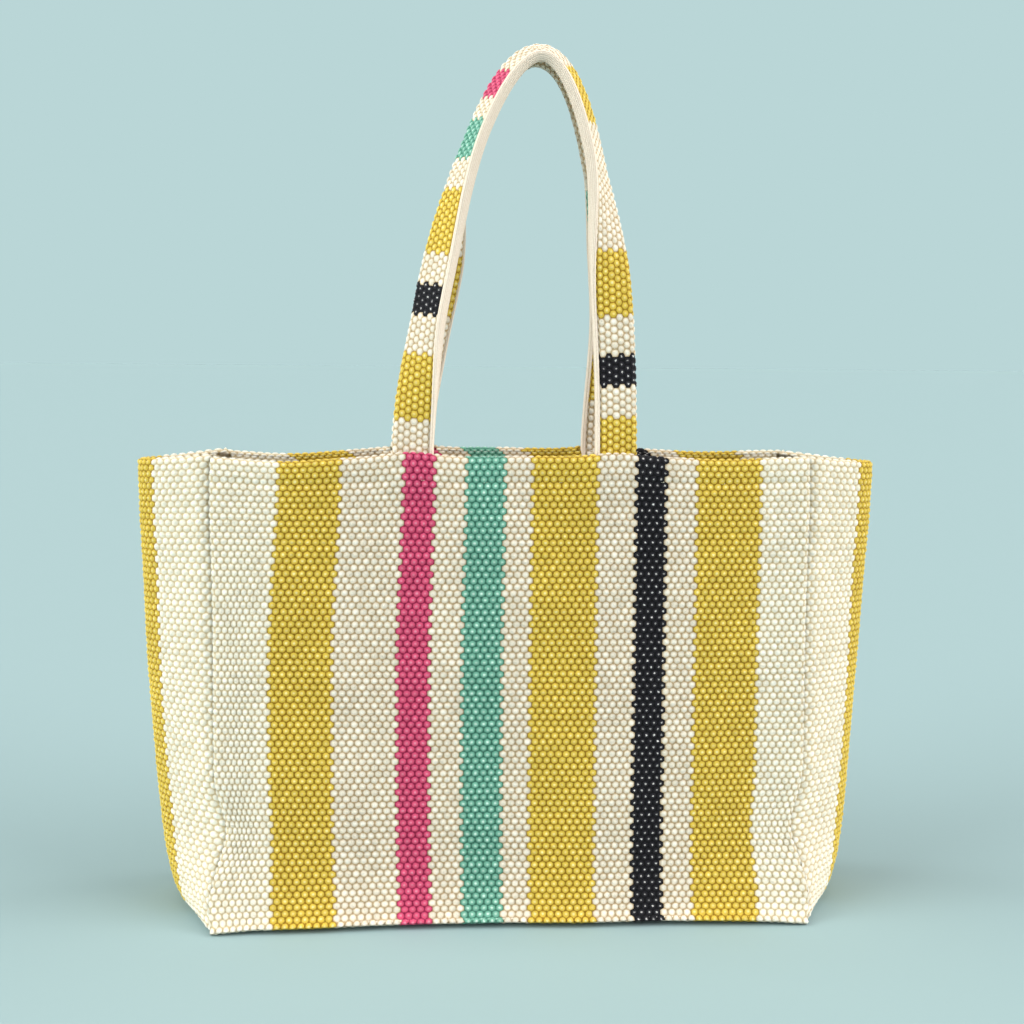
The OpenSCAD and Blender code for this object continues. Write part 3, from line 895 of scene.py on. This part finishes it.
COVER_FLAT = STRAP_W - COVER_HT - COVER_OPEN
COVER_LENGTH = 2 * COVER_FLAT + math.pi * COVER_HT


def cover_profile(c, out):
    """Point of the cover's section at arc length c from its open edge, out of the outer face."""
    phi = np.clip((c - COVER_FLAT) / COVER_HT, 0, math.pi)
    edge = np.minimum(c, COVER_LENGTH - c)
    lip, lip_depth = rolled(edge, COVER_LIP)
    way = np.where(edge < COVER_FLAT / 2, lip, np.minimum(edge, COVER_FLAT))
    radius = COVER_HT + out - lip_depth
    return -STRAP_W / 2 + COVER_OPEN + way + radius * np.sin(phi), radius * np.cos(phi)


def cover(name, line, nodes, material, seed):
    rows = 14

    def outer(p, q):
        w, n = cover_profile(q / rows * COVER_LENGTH, 0.0)
        return line.point(p * line.length / line.beads, w, n)

    def inner(p, share):
        c = share * COVER_LENGTH
        w, n = cover_profile(c, -COVER_T)
        edge = np.minimum(c, COVER_LENGTH - c)
        n = np.where(edge < 3, np.sign(n) * (COVER_HT - COVER_T - 0.05), n)
        return line.point(p * line.length / line.beads, w, n)

    made = strap_cloth(name, line.beads, outer, inner, rows, material, seed)
    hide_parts(*nodes)
    bend(made, line)


def strap_cloth(name, beads, outer, inner, rows, material, seed):
    """Woven cloth round a strap: the beads stand out along the face's own normal, which is
    compared with the way from the inner face to the outer one."""
    per_bead, per_row = 4, 3
    p, q = np.meshgrid(np.arange(beads * per_bead + 1) / per_bead,
                       np.arange(rows * per_row + 1) / per_row)
    face, back = outer(p, q), inner(p, q / rows)
    normal = grid_normals(face)
    turn = np.sign(np.mean(np.sum(normal * (face - back), -1)))
    height = (beads_at(p, q, seed) - BEAD_LEVEL) * STRAP_BEAD_H
    face = face + normal * (turn * height)[..., None]
    keep = slice(None, None, per_bead)
    index = np.arange(face[..., 0].size).reshape(face.shape[:2])
    back, p_back, q_back = back[:, keep], p[:, keep], q[:, keep]
    back_index = index.size + np.arange(back[..., 0].size).reshape(back.shape[:2])
    faces = [quads(index), quads(back_index)[:, ::-1]]
    for col in (0, -1):
        strip_index = np.stack([index[:, col], back_index[:, col]], 1)
        faces.append(quads(strip_index if col else strip_index[:, ::-1]))
    for row in (0, -1):
        side = []
        for k in range(back_index.shape[1] - 1):
            edge = index[row, k * per_bead:(k + 1) * per_bead + 1]
            ring = np.concatenate([edge, back_index[row, k:k + 2][::-1]])
            side.append(ring if row else ring[::-1])
        faces.append(np.array(side))
    if turn < 0:
        faces = [f[:, ::-1] for f in faces]
    points = np.concatenate([face.reshape(-1, 3), back.reshape(-1, 3)])
    weave = np.concatenate([
        np.stack([p, q, 0 * p], -1).reshape(-1, 3),
        np.stack([p_back, q_back, 0 * p_back + 1], -1).reshape(-1, 3)])
    return make_object(name, points, faces, material, weave)


def core(name, line, nodes, material):
    """The webbing inside a handle, seen along the cover's open edge, where it is thicker."""
    low, neck = -STRAP_W / 2 - 0.6, -STRAP_W / 2 + COVER_OPEN + 0.4
    high = STRAP_W / 2 - COVER_HT + 1
    turn = np.linspace(math.pi / 2, 3 * math.pi / 2, 25)
    edge_w = neck - (neck - low) * np.abs(np.cos(turn)) ** 0.55
    edge_n = CORE_EDGE_HT * np.sign(np.sin(turn)) * np.abs(np.sin(turn)) ** 0.8
    ribs = 0.14 * np.cos(edge_n * 2 * math.pi / RIB)
    edge_w = edge_w + ribs * (np.abs(edge_n) < CORE_EDGE_HT * 0.85)
    inside = neck + 0.6
    w = np.concatenate([edge_w, [inside, high, high, inside]])
    n = np.concatenate([edge_n, [-CORE_HT, -CORE_HT, CORE_HT, CORE_HT]])
    around = np.concatenate([[0], np.cumsum(np.hypot(np.diff(w), np.diff(n)))])
    ss, ww = np.meshgrid(np.linspace(0, line.length, 360), w, indexing="ij")
    nn = np.broadcast_to(n, ss.shape)
    weave = np.stack([ss, np.broadcast_to(around, ss.shape), 0 * ss], -1)
    made = ring_mesh(name, line.point(ss, ww, nn), material, weave)
    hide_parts(*nodes)
    bend(made, line)


def bend(made, line):
    """Bakes the handle's placement into its mesh."""
    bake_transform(made)


FRONT_LINE, BACK_LINE = StrapLine(-1, 0.0, TOP_TURN), StrapLine(1, BACK_SHIFT, BACK_TOP_TURN)
FRONT_HANDLE = woven_material(
    "front_handle_cloth", fit_stripes(FRONT_STRIPES, FRONT_LINE.beads), FRONT_LINE.beads, 3)
BACK_HANDLE = woven_material(
    "back_handle_cloth", fit_stripes(BACK_STRIPES, BACK_LINE.beads), BACK_LINE.beads, 4)
WEBBING = ribbed_material("webbing", (236, 222, 204), (206, 180, 152), RIB, 1)
cover("handle_cloth_front", FRONT_LINE,
      ["front_handle_cover", "front_handle_left_end", "front_handle_right_end"], FRONT_HANDLE, 31)
cover("handle_cloth_back", BACK_LINE,
      ["back_handle_cover", "back_handle_left_end", "back_handle_right_end"], BACK_HANDLE, 32)
core("handle_webbing_front", FRONT_LINE, ["front_handle_core"], WEBBING)
core("handle_webbing_back", BACK_LINE, ["back_handle_core"], WEBBING)

# ---------------------------------------------------------------- bindings
TAPE = ribbed_material("binding_tape", (224, 214, 190), (186, 172, 140), 1.6, 2)


def tape_rings(point, c0, c1, z0, z1, along_z, steps=70):
    """Rings of a flat tape on a wall's inner face, bulged a little over the seam under it."""
    lanes = np.linspace(0, 1, 9)
    crown = BINDING_T * (1 - np.abs(2 * lanes - 1) ** 5) + 0.5 * np.sin(lanes * math.pi)
    base_line = np.linspace(0, 1, steps)
    run, lane = np.meshgrid(base_line, np.concatenate([lanes, lanes[::-1]]), indexing="ij")
    high = np.broadcast_to(np.concatenate([crown + 0.25, 0 * crown]), run.shape)
    c = c0 + (c1 - c0) * (lane if along_z else run)
    z = z0 + (z1 - z0) * (run if along_z else lane)
    width = BINDING_W if along_z else abs(z1 - z0)
    length = abs(z1 - z0) if along_z else BINDING_W * 30
    weave = np.stack([run * length, lane * width, 0 * run], -1)
    return point(c, z, TAPE_DEPTH + high), weave


def tape(name, rings, node):
    made = ring_mesh(name, rings[0], TAPE, rings[1])
    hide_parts(node)
    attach(made, "bag")


def face_on(side):
    return lambda c, z, depth: face_point(c, z, depth, side)


def gusset_on(side):
    return lambda c, z, depth: gusset_point(c, z, depth, side)


for where, side in (("front", -1), ("back", 1)):
    for hand, sign in (("left", -1), ("right", 1)):
        node = f"{where}_{hand}_seam_binding"
        low, high = box_mm(node)
        x0 = sign * (HALF_W - CLOTH_T - GAP)
        x1 = sign * (HALF_W - CLOTH_T - GAP - BINDING_W)
        tape(f"tape_{where}_{hand}", tape_rings(face_on(side), x0, x1, low[2], high[2], True), node)

ring_low, ring_high = box_mm("base_seam_binding")
face_end = HALF_W - CLOTH_T - 3 * BINDING_T
for part, point, end in (
    ("front", face_on(-1), face_end), ("back", face_on(1), face_end),
    ("left", gusset_on(-1), 0.88), ("right", gusset_on(1), 0.88),
):
    rings = tape_rings(point, -end, end, ring_low[2] + 1.5, ring_high[2] + 1.5, False, 90)
    tape(f"tape_base_{part}", rings, "base_seam_binding")

# ---------------------------------------------------------------- stitching
THREAD = thread_material("thread")
STITCH_SIDES, STITCH_RINGS, STITCH_R = 8, 9, 0.5


def stitches(name, lines, node):
    """Short rounded stitches. lines are (steps x 3 points, outward direction) of each stitch."""
    points, faces, weave = [], [], []
    share = np.linspace(0, 1, STITCH_RINGS)
    radius = np.sqrt(np.clip(1 - (2 * share - 1) ** 6, 0.02, 1)) * STITCH_R
    turn = np.arange(STITCH_SIDES) * 2 * math.pi / STITCH_SIDES
    for i, (line, out) in enumerate(lines):
        tangent = unit(line[-1] - line[0])
        side = np.cross(tangent, out)
        ring = (np.cos(turn)[:, None] * side + np.sin(turn)[:, None] * out)[None]
        rings = line[:, None] + ring * radius[:, None, None]
        points.append(rings.reshape(-1, 3))
        along = np.broadcast_to(share[:, None] * STITCH_L, (STITCH_RINGS, STITCH_SIDES))
        around = np.broadcast_to(turn, along.shape)
        weave.append(np.stack([along, around, 0 * along], -1).reshape(-1, 3))
        faces.append(ring_faces(STITCH_RINGS, STITCH_SIDES, i * STITCH_RINGS * STITCH_SIDES))
    groups = [np.concatenate([f[k] for f in faces]) for k in range(3)]
    made = make_object(name, np.concatenate(points), groups, THREAD, np.concatenate(weave))
    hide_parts(node)
    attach(made, "bag")


def stitch_line(point, c0, c1, z, depth, sink):
    """Middle line of one stitch on a wall, with its ends sunk into the cloth."""
    share = np.linspace(0, 1, STITCH_RINGS)
    c = c0 + (c1 - c0) * share
    deep = depth + sink * np.abs(2 * share - 1) ** 4
    line = point(c, np.full_like(c, z), deep)
    out = point(c, np.full_like(c, z), deep - 1) - line
    return line, unit(out.mean(0))


row_z = HEM_LOW + 2 * STITCH_T
hem_depth, hem_sink = 1.2, 0.9
hem_lines = []
face_count = int((2 * HALF_W - 2 * STITCH_PITCH) / STITCH_PITCH / 2)
side_count = int(SIDE_HALF / STITCH_PITCH) - 1
for side in (-1, 1):
    for i in range(-face_count, face_count + 1):
        x = i * STITCH_PITCH
        hem_lines.append(stitch_line(
            face_on(side), x - STITCH_L / 2, x + STITCH_L / 2, row_z, hem_depth, hem_sink))
    for i in range(-side_count, side_count + 1):
        t, share = i * STITCH_PITCH / SIDE_HALF, STITCH_L / SIDE_HALF / 2
        hem_lines.append(
            stitch_line(gusset_on(side), t - share, t + share, row_z, hem_depth, hem_sink))
stitches("thread_hem", hem_lines, "hem_stitching")

end_lines = []
end_depth, end_sink = HEM_DEEP + STRAP_T + GAP + 0.5, -0.9
starts = (-1.5 * STITCH_L, -0.5 * STITCH_L + STITCH_T, 0.5 * STITCH_L + 2 * STITCH_T)
for side in (-1, 1):
    for hand in (-1, 1):
        for z in (HEM_LOW + 5, BAG_H - 6):
            for start in starts:
                x = hand * LEG_X + start
                end_lines.append(
                    stitch_line(face_on(side), x, x + STITCH_L, z, end_depth, end_sink))
stitches("thread_handle_ends", end_lines, "handle_end_stitching")
